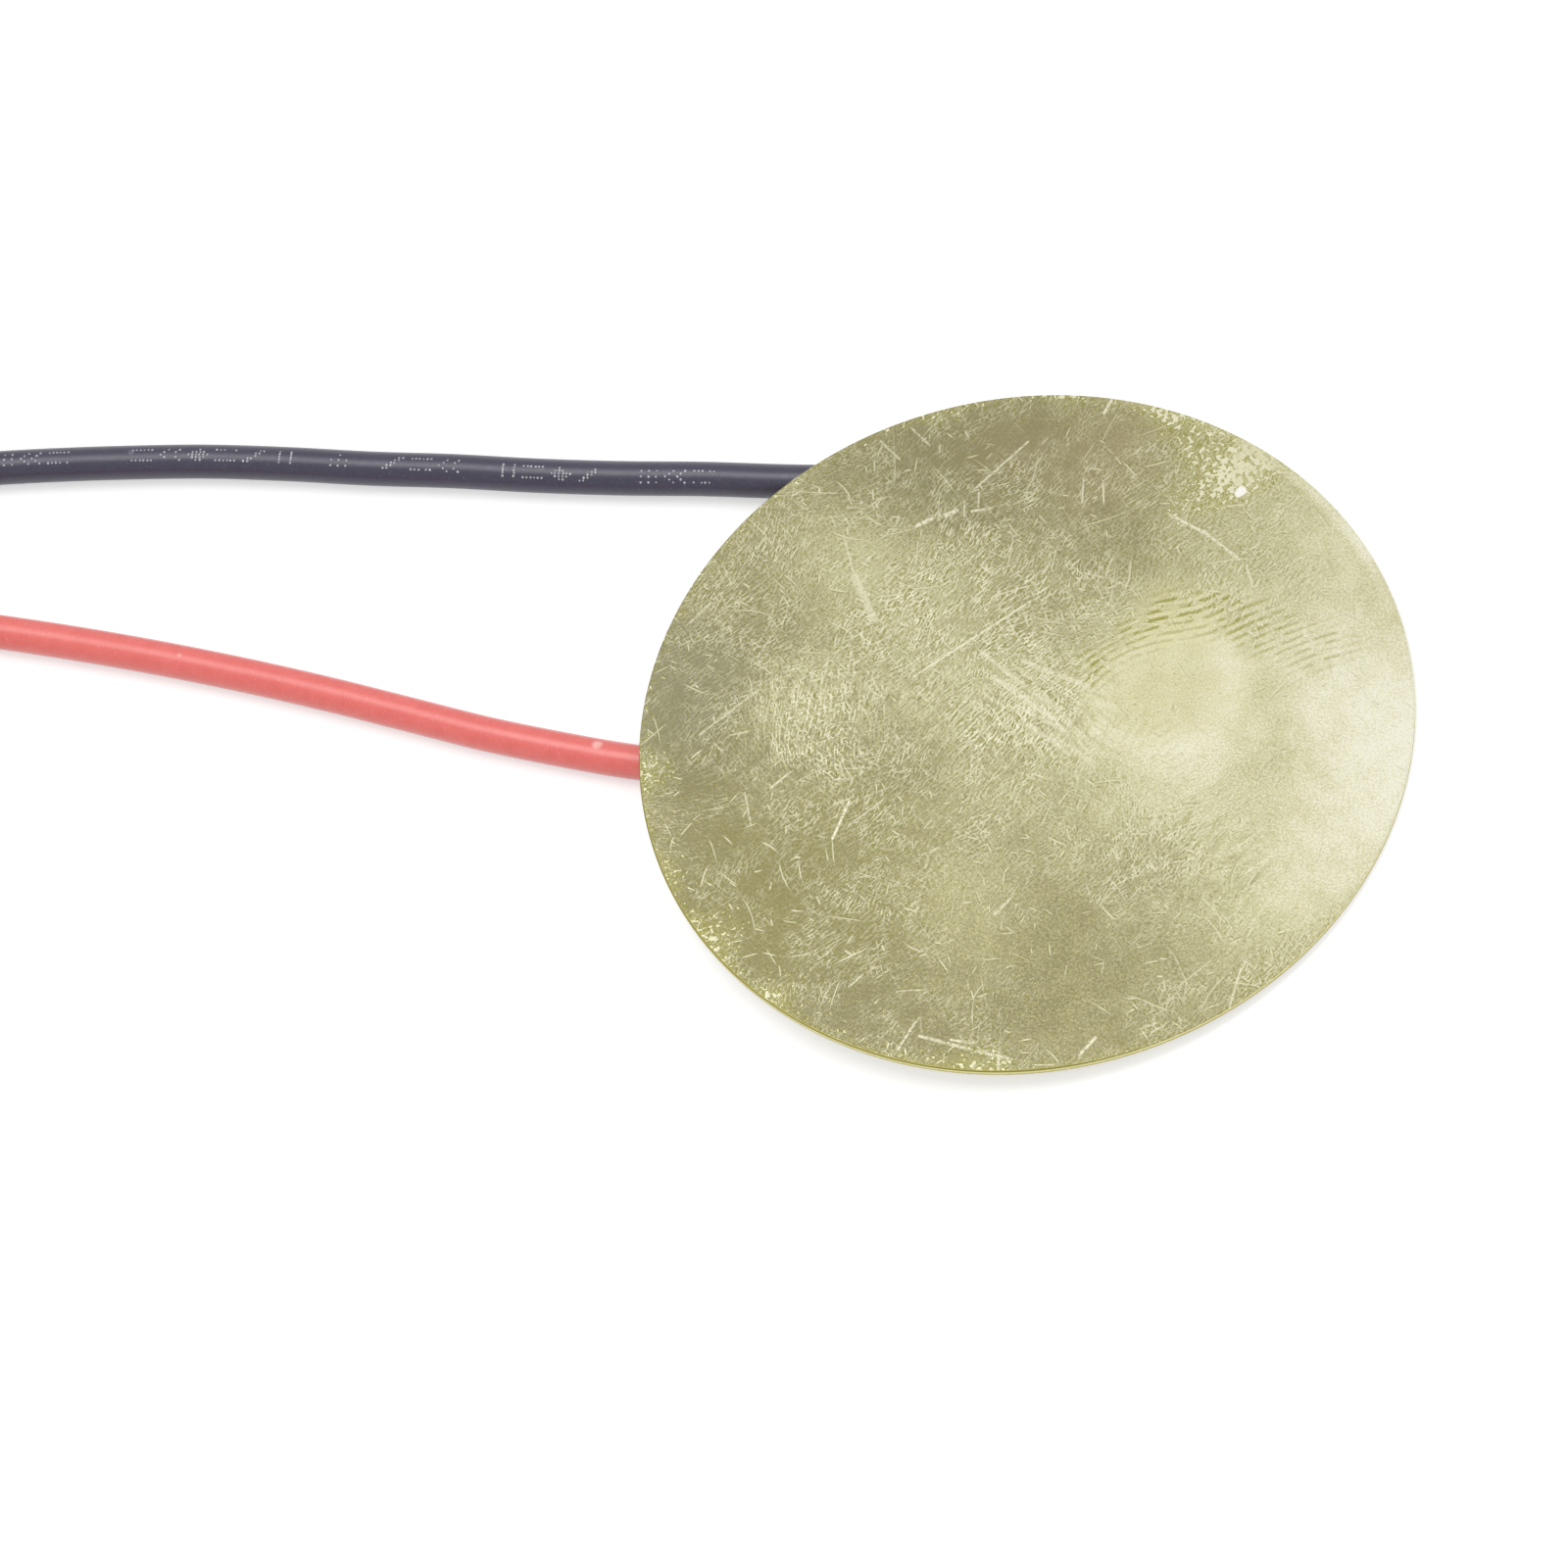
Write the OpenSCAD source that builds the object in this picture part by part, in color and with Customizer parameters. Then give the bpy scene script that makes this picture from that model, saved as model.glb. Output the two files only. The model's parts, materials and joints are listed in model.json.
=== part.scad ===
// A bare piezo disc with two leads, lying ceramic side down on a table.
// The brass plate leans on its own leads, and the spare length of each lead is wound into a flat coil.
// Millimetres, +Z up. The origin lies on the table below the middle of the plate.

/* [Plate] */
// Diameter of the brass plate
plate_d = 35; // [33:0.5:45]
// Thickness of the brass plate
plate_t = 0.3; // [0.2:0.05:0.6]
// Radius that blanking rolls over the edge of the open face
plate_edge_r = 0.06; // [0.02:0.01:0.1]

/* [Ceramic] */
// Diameter of the ceramic disc
ceramic_d = 25; // [23.5:0.5:26.5]
// Thickness of the ceramic disc
ceramic_t = 0.21; // [0.18:0.01:0.4]
// Bare rim of ceramic outside the printed silver on its open side
outer_margin = 1; // [0.75:0.25:1.75]
// Bare rim of ceramic outside the printed silver towards the plate
inner_margin = 1.2; // [0.8:0.1:2.5]
// Thickness of each printed silver layer
electrode_t = 0.01; // [0.01:0.005:0.03]
// Thickness of the adhesive between the plate and the silver
bond_t = 0.02; // [0.01:0.005:0.04]
// Radius of the hollow bead of adhesive round the foot of the ceramic
bead_r = 0.16; // [0.08:0.02:0.18]

/* [Solder joints] */
// Distance of the red lead's joint inside the edge of the open silver
red_joint_inset = 2; // [1.6:0.1:3]
// Radius of the rounded crown of a joint
crown_r = 0.85; // [0.7:0.05:1]
// Radius of the hollow foot of a joint
foot_r = 0.3; // [0.2:0.05:0.5]
// Solder between the conductor and the surface below it
solder_film = 0.05; // [0.03:0.01:0.15]
// Solder over the conductor
solder_cover = 0.27; // [0.15:0.01:0.4]
// Room round the conductor in the solder
wetting_gap = 0.015; // [0.01:0.005:0.03]

/* [Leads] */
// Diameter over the insulation
lead_d = 1.6; // [1.3:0.1:2]
// Diameter of one copper strand
strand_d = 0.25; // [0.16:0.01:0.28]
// Gap between neighbouring strands
strand_gap = 0.008; // [0.006:0.001:0.02]
// Length in which a strand goes once round the middle one
strand_lay = 10; // [8:1:20]
// Length of the tinned far end of each lead
tip_length = 5; // [3:0.5:6]
// Height between the lead and the ceramic that leans on it
seat_gap = 0.02; // [0.01:0.01:0.1]

/* [Coils] */
// Radius of the outermost turn of a coil, at the middle of the lead
coil_r = 10; // [9.6:0.2:12]
// Number of turns in a coil
coil_turns = 1.5; // [1:0.1:2]

/* [Hidden] */
$fn = 96;

// The printed silver stops short of the edge of the ceramic
outer_electrode_d = ceramic_d - 2 * outer_margin;
inner_electrode_d = ceramic_d - 2 * inner_margin;

// Layers below the plate, measured down from its underside
inner_electrode_z = bond_t;
ceramic_z = inner_electrode_z + electrode_t;
ceramic_foot_z = ceramic_z + ceramic_t;
outer_electrode_foot_z = ceramic_foot_z + electrode_t;

// Directions of the two joints from the middle of the plate
red_joint_angle = 194;
black_joint_angle = 119;
red_joint_r = outer_electrode_d / 2 - red_joint_inset;
// The black joint lies midway over the bare margin of brass
black_joint_r = (ceramic_d + plate_d) / 4;
red_joint = red_joint_r * [cos(red_joint_angle), sin(red_joint_angle)];
black_joint = black_joint_r * [cos(black_joint_angle), sin(black_joint_angle)];

// Conductor: six strands laid round one
strand_lay_r = strand_d + strand_gap;
conductor_r = strand_lay_r + strand_d / 2;
channel_r = conductor_r + wetting_gap;
channel_h = solder_film + channel_r;
joint_h = channel_h + channel_r + solder_cover;
// Where the strands end inside the solder, past the middle of the joint
strand_reach = 0.3;
strand_sides = 6;
strand_rings = 12;
lead_sides = 8;

// Routes of the leads on the table, from the cut insulation below the disc to the start of the coil
red_route = [
    [-12, -2.2], [-15, -2.1], [-18, -1.8], [-21, -1.3], [-25, -0.5], [-29, 0.5], [-33, 1.5], [-37, 2.4],
    [-41, 3.2], [-45, 3.9], [-49, 4.5], [-53, 5], [-57, 5.4], [-61.5, 5.6], [-66, 5.6]
];
black_route = [
    [-10.1, 13.1], [-13, 13.1], [-17, 13.2], [-21, 13.2], [-25, 13.3], [-29, 13.5], [-33, 13.6], [-37, 13.8],
    [-41, 13.9], [-45, 13.8], [-49, 13.6], [-53, 13.3], [-57, 13], [-61, 12.9], [-65, 12.9]
];

// A coil turns inwards by one lead each turn, then its tail bends into the open middle
coil_pitch = lead_d;
coil_end_r = coil_r - coil_pitch * coil_turns;
coil_in_r = coil_end_r - lead_d / 2;
coil_out_r = coil_r + lead_d / 2;
tail_bend_r = 4.5;
tail_bend = 90;
tail_rings = 5;
// The end of the tail is straight, and so is the conductor where it leaves the insulation
tail_end = 1.5;
conductor_start = 0.15;

// The disc rests on its rim at +X and on the cut end of the red insulation at -X
prop_x = -red_route[0][0];
prop_span = plate_d / 2 + prop_x;
prop_h = lead_d + seat_gap;
lean = atan2(prop_h, prop_span) + asin(ceramic_foot_z / norm([prop_h, prop_span]));
rest_h = max([
    for (low = [[plate_d, 0], [ceramic_d, ceramic_foot_z], [outer_electrode_d, outer_electrode_foot_z]])
        low[0] / 2 * sin(lean) + low[1] * cos(lean)
]);

// From the table's frame to the leaning disc's frame, whose origin is the middle of the plate's underside
function in_disc(p) = [
    p[0] * cos(lean) - (p[2] - rest_h) * sin(lean),
    p[1],
    p[0] * sin(lean) + (p[2] - rest_h) * cos(lean)
];
function unit(v) = v / norm(v);
function on_table(p) = [p[0], p[1], lead_d / 2];

// One ring of a swept tube, square to the direction it runs in
function ring(centre, along, r, sides, turn) =
    let (across = unit(cross([0, 0, 1], along)), up = cross(unit(along), across)) [
        for (i = [0 : sides - 1])
            let (a = turn + 360 * i / sides) centre + r * (cos(a) * across + sin(a) * up)
    ];

// Direction of a route at one of its points
function heading(path, i) = unit(path[min(i + 1, len(path) - 1)] - path[max(i - 1, 0)]);

// A closed tube through rings of equal count
module tube(rings) {
    count = len(rings);
    sides = len(rings[0]);
    walls = [
        for (i = [0 : count - 2]) for (k = [0 : sides - 1])
            let (a = i * sides + k, b = i * sides + (k + 1) % sides)
                each [[a, a + sides, b], [b, a + sides, b + sides]]
    ];
    start = [for (k = [0 : sides - 1]) k];
    end = [for (k = [sides - 1 : -1 : 0]) (count - 1) * sides + k];
    polyhedron(points = [for (r = rings) each r], faces = concat(walls, [start, end]), convexity = 6);
}

// Lays what was built in the disc's own frame down as it rests
module leaning() translate([0, 0, rest_h]) rotate([0, lean, 0]) children();

// A flat round layer whose top lies at a depth below the plate
module layer(d, top, thickness) translate([0, 0, -top - thickness]) cylinder(d = d, h = thickness);

// Half section of the plate, with its edge rolled over on the open face
module plate_section() {
    square([plate_d / 2 - plate_edge_r, plate_t]);
    square([plate_d / 2, plate_t - plate_edge_r]);
    translate([plate_d / 2 - plate_edge_r, plate_t - plate_edge_r]) circle(plate_edge_r, $fn = 48);
}

module brass_plate()
    color("#b4ac76") leaning() rotate_extrude() intersection() {
        plate_section();
        square([plate_d, plate_t]);
    }

// Adhesive film, cupped round the inner silver, with a hollow bead up the side of the ceramic
module bond_section() {
    square([ceramic_d / 2, bond_t]);
    translate([inner_electrode_d / 2, 0]) square([(ceramic_d - inner_electrode_d) / 2, ceramic_z]);
    translate([ceramic_d / 2, 0]) difference() {
        square(bead_r);
        translate([bead_r, bead_r]) circle(bead_r, $fn = 48);
    }
}

module bond_film()
    color("#c9b27a") leaning() mirror([0, 0, 1]) rotate_extrude() bond_section();

module inner_electrode()
    color("#c9c9c6") leaning() layer(inner_electrode_d, inner_electrode_z, electrode_t);

module ceramic_disc()
    color("#e9e3d2") leaning() layer(ceramic_d, ceramic_z, ceramic_t);

module outer_electrode()
    color("#c9c9c6") leaning() layer(outer_electrode_d, ceramic_foot_z, electrode_t);

function arc(centre, r, from, to, steps) = [
    for (i = [0 : steps])
        let (a = from + (to - from) * i / steps) centre + r * [cos(a), sin(a)]
];

// Half section of a solder joint: a round crown that flows out into a hollow foot
module joint_section() {
    crown_z = joint_h - crown_r;
    foot_x = sqrt(pow(crown_r + foot_r, 2) - pow(foot_r - crown_z, 2));
    flow = atan2(foot_r - crown_z, foot_x);
    crown = arc([0, crown_z], crown_r, 90, flow, 10);
    foot = arc([foot_x, foot_r], foot_r, flow + 180, 270, 5);
    polygon(concat([[0, 0]], crown, foot));
}

// Direction from the cut insulation to a joint, seen square to the disc
function approach(joint, route) =
    let (cut = in_disc(on_table(route[0]))) unit([joint[0] - cut[0], joint[1] - cut[1]]);

// A joint on the layer at the given depth, with the blind channel that the conductor fills
module solder_joint(joint, depth, route) {
    way = approach(joint, route);
    translate([joint[0], joint[1], -depth]) mirror([0, 0, 1]) difference() {
        rotate_extrude() joint_section();
        translate([strand_reach * way[0], strand_reach * way[1], channel_h])
            rotate([0, 0, atan2(way[1], way[0])]) rotate([0, -90, 0])
                cylinder(r = channel_r, h = strand_reach + 2 * crown_r + 2 * foot_r);
    }
}

module red_solder()
    color("#a9a9a6") leaning() solder_joint(red_joint, outer_electrode_foot_z, red_route);

module black_solder()
    color("#a9a9a6") leaning() solder_joint(black_joint, 0, black_route);

// Middle line of the bare conductor: an easy bend up from the insulation, then straight into the joint
function bend_point(a, b, c, d, t) =
    pow(1 - t, 3) * a + 3 * pow(1 - t, 2) * t * b + 3 * (1 - t) * t * t * c + pow(t, 3) * d;
function conductor_line(joint, depth, route) =
    let (
        way = approach(joint, route),
        run = [way[0], way[1], 0],
        cut = in_disc(on_table(route[0])),
        out = unit(cut - in_disc(on_table(route[1]))),
        bend = cut + conductor_start * out,
        blind = [joint[0], joint[1], -depth - channel_h] + strand_reach * run,
        mouth = blind - (strand_reach + crown_r + foot_r) * run,
        ease = norm(mouth - bend) / 3,
        steps = strand_rings - 4
    )
    concat(
        [cut],
        [for (i = [0 : steps]) bend_point(bend, bend + ease * out, mouth - ease * run, mouth, i / steps)],
        [(mouth + blind) / 2, blind]
    );

// Seven strands: one straight down the middle and six laid round it
module strands(joint, depth, route) {
    line = conductor_line(joint, depth, route);
    turn = 360 * norm(line[0] - line[strand_rings - 1]) / strand_lay;
    for (k = [0 : 6]) {
        lay_r = k == 0 ? 0 : strand_lay_r;
        tube([
            for (i = [0 : strand_rings - 1])
                let (
                    along = heading(line, i),
                    across = unit(cross([0, 0, 1], along)),
                    up = cross(along, across),
                    a = 60 * k + turn * i / (strand_rings - 1)
                )
                ring(line[i] + lay_r * (cos(a) * across + sin(a) * up), along, strand_d / 2, strand_sides, 0)
        ]);
    }
}

module red_strands()
    color("#b87348") leaning() strands(red_joint, outer_electrode_foot_z, red_route);

module black_strands()
    color("#b87348") leaning() strands(black_joint, 0, black_route);

// The spare length of a lead, with side 1 for a coil on the +Y side of its route and -1 for the other
function coil_centre(route, side) = route[len(route) - 1] + [0, side * coil_r];
function from_centre(r, side, a) = [-r * sin(a), -side * r * cos(a)];
function tail_point(route, side, a) =
    coil_centre(route, side)
    + from_centre(coil_end_r - tail_bend_r, side, 360 * coil_turns)
    + from_centre(tail_bend_r, side, 360 * coil_turns + a);
function tail_way(side) =
    let (end = 360 * coil_turns + tail_bend) [-cos(end), side * sin(end)];
function tail_cut(route, side) = tail_point(route, side, tail_bend) + tail_end * tail_way(side);

// Insulation that isn't coiled: the run to the coil, and the tail inside it
module lead(route, side) {
    run = [for (p = route) on_table(p)];
    tail = [
        for (i = [0 : tail_rings - 1]) on_table(tail_point(route, side, tail_bend * i / (tail_rings - 1))),
        on_table(tail_cut(route, side))
    ];
    // Flats lie top and bottom, a lead's diameter apart
    corner = 180 / lead_sides;
    for (path = [run, tail])
        tube([
            for (i = [0 : len(path) - 1])
                ring(path[i], heading(path, i), lead_d / 2 / cos(corner), lead_sides, corner)
        ]);
}

module red_lead() color("#e8706a") lead(red_route, -1);

module black_lead() color("#46444f") lead(black_route, 1);

// Outer shape of a coil: a ring as thick as the lead, with rounded sides
module coil(route, side) {
    centre = coil_centre(route, side);
    translate([centre[0], centre[1], lead_d / 2]) rotate_extrude() {
        translate([coil_in_r + lead_d / 2, -lead_d / 2]) square([coil_out_r - coil_in_r - lead_d, lead_d]);
        for (x = [coil_in_r + lead_d / 2, coil_out_r - lead_d / 2])
            translate([x, 0]) circle(d = lead_d);
    }
}

module red_coil() color("#e8706a") coil(red_route, -1);

module black_coil() color("#46444f") coil(black_route, 1);

// Tinned far end: the seven strands twisted and filled with solder
module tip(route, side) {
    way = tail_way(side);
    turn = 360 * tip_length / strand_lay;
    translate(on_table(tail_cut(route, side)))
        rotate([0, 0, atan2(way[1], way[0])]) rotate([0, 90, 0])
            linear_extrude(height = tip_length, twist = turn, slices = 10, $fn = 24) {
                circle(strand_lay_r, $fn = 6);
                for (k = [0 : 5])
                    rotate(60 * k) translate([strand_lay_r, 0]) circle(d = strand_d, $fn = 10);
            }
}

module red_tip() color("#c4c4c0") tip(red_route, -1);

module black_tip() color("#c4c4c0") tip(black_route, 1);

brass_plate();
bond_film();
inner_electrode();
ceramic_disc();
outer_electrode();
red_solder();
black_solder();
red_strands();
black_strands();
red_lead();
black_lead();
red_coil();
black_coil();
red_tip();
black_tip();
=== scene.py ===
# A bare piezo disc with two leads, lying ceramic side down on a pale table.
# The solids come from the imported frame, and each section below finishes one piece of the disc.
# Sizes are in millimetres, and MM turns them into the frame's metres.
import json
import math
import random

import bpy
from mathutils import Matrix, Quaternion, Vector


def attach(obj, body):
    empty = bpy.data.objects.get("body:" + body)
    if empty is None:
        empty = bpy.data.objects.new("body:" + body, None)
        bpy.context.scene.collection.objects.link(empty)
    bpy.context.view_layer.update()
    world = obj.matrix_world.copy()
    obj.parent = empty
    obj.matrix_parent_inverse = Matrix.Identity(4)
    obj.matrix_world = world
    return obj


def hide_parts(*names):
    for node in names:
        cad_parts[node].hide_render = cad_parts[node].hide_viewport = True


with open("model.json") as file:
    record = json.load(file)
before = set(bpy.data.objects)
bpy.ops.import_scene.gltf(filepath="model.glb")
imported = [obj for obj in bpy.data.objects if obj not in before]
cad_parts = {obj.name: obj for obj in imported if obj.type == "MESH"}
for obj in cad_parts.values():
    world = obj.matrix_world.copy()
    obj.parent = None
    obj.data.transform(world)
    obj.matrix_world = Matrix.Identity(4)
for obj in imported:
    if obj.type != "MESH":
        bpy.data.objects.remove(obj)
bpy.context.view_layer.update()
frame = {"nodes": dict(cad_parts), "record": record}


# The camera looks down on the plate from the front, from over the leads' joints.
# It has a long lens and is held close to level with the black lead, so the view is turned a little.
MM = 0.001
bpy.context.scene.view_settings.view_transform = "Standard"
looked_at = Vector((-11.08, -2.36, 0)) * MM
camera_azimuth, camera_elevation, camera_roll = (math.radians(a) for a in (28, 57.23, -23.11))
camera_distance = 450 * MM
lens_data = bpy.data.cameras.new("camera")
lens_data.lens = 229.45
lens_data.clip_start = 50 * MM
camera = bpy.data.objects.new("camera", lens_data)
bpy.context.collection.objects.link(camera)
back = Vector((
    math.sin(camera_azimuth) * math.cos(camera_elevation),
    -math.cos(camera_azimuth) * math.cos(camera_elevation),
    math.sin(camera_elevation),
))
camera.location = looked_at + camera_distance * back
camera.rotation_mode = "QUATERNION"
level = (-back).to_track_quat("-Z", "Y")
camera.rotation_quaternion = level @ Quaternion((0, 0, 1), camera_roll)
bpy.context.scene.camera = camera


# The plate: a blank punched from thin rolled brass strip, 35 mm across, with one open face.
# The punch rolls its upper edge over and leaves the side part bright, part torn.
# Handling has covered the face in fine strokes, a thumb print and pits by the rim.
plate_d = 35
plate_t = 0.3
roll_r = 0.06
plate_mount = next(m for m in frame["record"]["mounts"] if m["name"] == "brass_face")
face_middle = Vector(plate_mount["pos_m"])
face_way = Vector(plate_mount["axis"])
plate_lean = math.atan2(face_way.x, face_way.z)
plate_tilt = Quaternion((0, 1, 0), plate_lean)


def paint(*screen):
    """A colour as a screen gives it, red, green and blue from 0 to 255, turned into light for a shader."""
    light = [c / 255 / 12.92 if c <= 10 else ((c / 255 + 0.055) / 1.055) ** 2.4 for c in screen]
    return (*light, 1)


def add(tree, kind, *inputs, **settings):
    """One shader node, with its inputs filled in order by numbers or by other nodes."""
    made = tree.nodes.new("ShaderNode" + kind)
    for setting, value in settings.items():
        setattr(made, setting, value)
    for socket, value in zip(made.inputs, inputs):
        join(tree, value, socket)
    return made


def join(tree, value, socket):
    """Links a socket to another node's output, or sets it to a plain value."""
    if isinstance(value, bpy.types.NodeSocket):
        tree.links.new(value, socket)
    elif value is not None:
        socket.default_value = value


def calc(tree, operation, *values):
    """A number worked out from numbers."""
    return add(tree, "Math", *values, operation=operation).outputs[0]


def shift(tree, operation, *places):
    """A place worked out from places."""
    return add(tree, "VectorMath", *places, operation=operation).outputs[0]


def measure(tree, operation, *places):
    """A number worked out from places, such as how far apart they are."""
    return add(tree, "VectorMath", *places, operation=operation).outputs["Value"]


def clamped(tree, value):
    """A number kept from 0 to 1."""
    return add(tree, "Clamp", value).outputs[0]


def smooth(tree, value, low, high, to_low=0.0, to_high=1.0):
    """A soft step: to_low where value is low, to_high where it is high, and even beyond them."""
    made = add(tree, "MapRange", value, low, high, to_low, to_high, interpolation_type="SMOOTHSTEP")
    return made.outputs[0]


def mixed(tree, amount, under, over):
    """The colour under, covered by the colour over where amount is 1."""
    made = add(tree, "Mix", data_type="RGBA")
    amount_at, under_at, over_at, result_at = 0, 6, 7, 2
    join(tree, amount, made.inputs[amount_at])
    join(tree, under, made.inputs[under_at])
    join(tree, over, made.inputs[over_at])
    return made.outputs[result_at]


def cloud(tree, place, size, detail, roughness, seed=0.0):
    """Noise from 0 to 1 with lumps about size millimetres across."""
    made = add(tree, "TexNoise", place, seed, 1 / size, detail, roughness, noise_dimensions="4D")
    return made.outputs[0]


def finish_of(name):
    """A new material, its node tree and its surface shader."""
    material = bpy.data.materials.new(name)
    material.use_nodes = True
    return material, material.node_tree, material.node_tree.nodes["Principled BSDF"]


def dress(tree, shader, colour, metal, roughness, height, depth):
    """Fills in a surface: its colour, how far it is metal, its roughness and its relief, depth mm high."""
    join(tree, colour, shader.inputs["Base Color"])
    join(tree, metal, shader.inputs["Metallic"])
    join(tree, roughness, shader.inputs["Roughness"])
    relief = add(tree, "Bump")
    relief.inputs["Distance"].default_value = depth * MM
    join(tree, height, relief.inputs["Height"])
    join(tree, relief.outputs[0], shader.inputs["Normal"])


def show(name, points, faces, materials, replaced=()):
    """A new piece from points in metres, which moves with the one body of the part."""
    mesh = bpy.data.meshes.new(name)
    mesh.from_pydata([tuple(p) for p in points], [], faces)
    mesh.polygons.foreach_set("use_smooth", [True] * len(mesh.polygons))
    for material in materials:
        mesh.materials.append(material)
    piece = bpy.data.objects.new(name, mesh)
    bpy.context.collection.objects.link(piece)
    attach(piece, "root")
    if replaced:
        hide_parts(*replaced)
    return piece


def on_plate(tree):
    """Where a point lies on the plate, in millimetres from the middle of the open face."""
    place = add(tree, "TexCoord").outputs["Object"]
    made = add(tree, "Mapping", place, tuple(face_middle), (0, plate_lean, 0), (MM, MM, MM),
               vector_type="TEXTURE")
    return made.outputs[0]


def swayed(tree, place, drift, most):
    """Pushes places to and fro by drift, the three channels of a noise, over most millimetres."""
    to_and_fro = shift(tree, "SUBTRACT", drift, (0.5, 0.5, 0.5))
    return shift(tree, "MULTIPLY_ADD", to_and_fro, (most, most, 0), place)


def patches(tree, place, field, spots):
    """Adds soft round patches to a field: x, y, reach, lift and, in some, the reach of an even core."""
    for x, y, reach, lift, *core in spots:
        away = measure(tree, "DISTANCE", place, (x, y, 0))
        field = calc(tree, "ADD", field, smooth(tree, away, reach, core[0] if core else 0, 0, lift))
    return field


def face_noise(tree, place, detail):
    """Noise from 0 to 1 on the open face, with lumps about as wide as the place's own unit."""
    return add(tree, "TexNoise", place, None, 1, detail, 0.55, noise_dimensions="2D").outputs[0]


def stretched(tree, place, size, seed, long, turn):
    """The open face with a unit of size mm, and of long times that along turn."""
    made = add(tree, "Mapping", place, (seed * 7.3, seed * 3.1, 0), (0, 0, math.radians(turn)),
               (size * long, size, 1), vector_type="TEXTURE")
    return made.outputs[0]


def speckle(tree, place, size, detail, seed, long=1.0, turn=0.0):
    """Noise on the open face, with specks of about size mm that are drawn out long times along turn."""
    return face_noise(tree, stretched(tree, place, size, seed, long, turn), detail)


def strokes(tree, place, length, width, turn, seed, few):
    """Fine strokes that lie one way, as relief with painted light: a painted highlight on the lit edge of
    each, and a painted shadow beside it.
    """
    laid = stretched(tree, place, width, seed, length / width, turn)
    lit = face_noise(tree, laid, 1)
    beside = face_noise(tree, shift(tree, "ADD", laid, (0.1, -0.5, 0)), 1)
    step = calc(tree, "SUBTRACT", lit, beside)
    faint, full = 0.07 + few, 0.2 + few
    return smooth(tree, step, faint, full), smooth(tree, step, -faint, -full)


def scuffs(tree, place, cell, length, width, seed, share):
    """Curved scratches every way, one to a cell at most: the groove, lit with a painted highlight, and a
    painted shadow beside it.
    """
    moved = shift(tree, "ADD", place, (seed * 5.3, seed * 2.7, 0))
    cells = add(tree, "TexVoronoi", moved, voronoi_dimensions="2D")
    cells.inputs["Scale"].default_value = 1 / cell
    own = add(tree, "SeparateColor", cells.outputs["Color"]).outputs
    from_middle = shift(tree, "SUBTRACT", moved, cells.outputs["Position"])
    straight = add(tree, "VectorRotate", from_middle, rotation_type="Z_AXIS")
    join(tree, calc(tree, "MULTIPLY", own[0], 2 * math.pi), straight.inputs["Angle"])
    along, across, _height = add(tree, "SeparateXYZ", straight.outputs[0]).outputs
    bow = calc(tree, "MULTIPLY", calc(tree, "MULTIPLY", along, along), calc(tree, "SUBTRACT", own[1], 0.5))
    across = calc(tree, "MULTIPLY_ADD", bow, 0.5 / length, across)
    reach = calc(tree, "MULTIPLY_ADD", own[1], length * 0.3, length * 0.2)
    ends = smooth(tree, calc(tree, "DIVIDE", calc(tree, "ABSOLUTE", along), reach), 1, 0.3)
    ends = calc(tree, "MULTIPLY", ends, smooth(tree, calc(tree, "SUBTRACT", share, own[2]), 0, 0.25))
    groove = smooth(tree, calc(tree, "ABSOLUTE", across), width * 0.6, width * 0.2)
    painted_shadow = smooth(tree, calc(tree, "ABSOLUTE", calc(tree, "ADD", across, width)), width * 0.7, width * 0.2)
    return calc(tree, "MULTIPLY", groove, ends), calc(tree, "MULTIPLY", painted_shadow, ends)


def scratches(tree, place, cuts):
    """Single scratches: each is x and y of its two ends, its width and its strength."""
    deepest = 0.0
    for x1, y1, x2, y2, width, strength in cuts:
        run = Vector((x2 - x1, y2 - y1, 0))
        from_start = shift(tree, "SUBTRACT", place, (x1, y1, 0))
        share = clamped(tree, measure(tree, "DOT_PRODUCT", from_start, tuple(run / run.length_squared)))
        nearest = add(tree, "VectorMath", tuple(run), operation="SCALE")
        join(tree, share, nearest.inputs["Scale"])
        away = measure(tree, "DISTANCE", from_start, nearest.outputs[0])
        deepest = calc(tree, "MAXIMUM", deepest, smooth(tree, away, width * 0.8, width * 0.3, 0, strength))
    return deepest


brass, tree, shader = finish_of("handled_brass")
flat = shift(tree, "MULTIPLY", on_plate(tree), (1, 1, 0))
drift = add(tree, "TexNoise", flat, None, 0.4, 2.0, 0.5, noise_dimensions="2D").outputs["Color"]
wavy = swayed(tree, flat, drift, 1.5)
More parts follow.
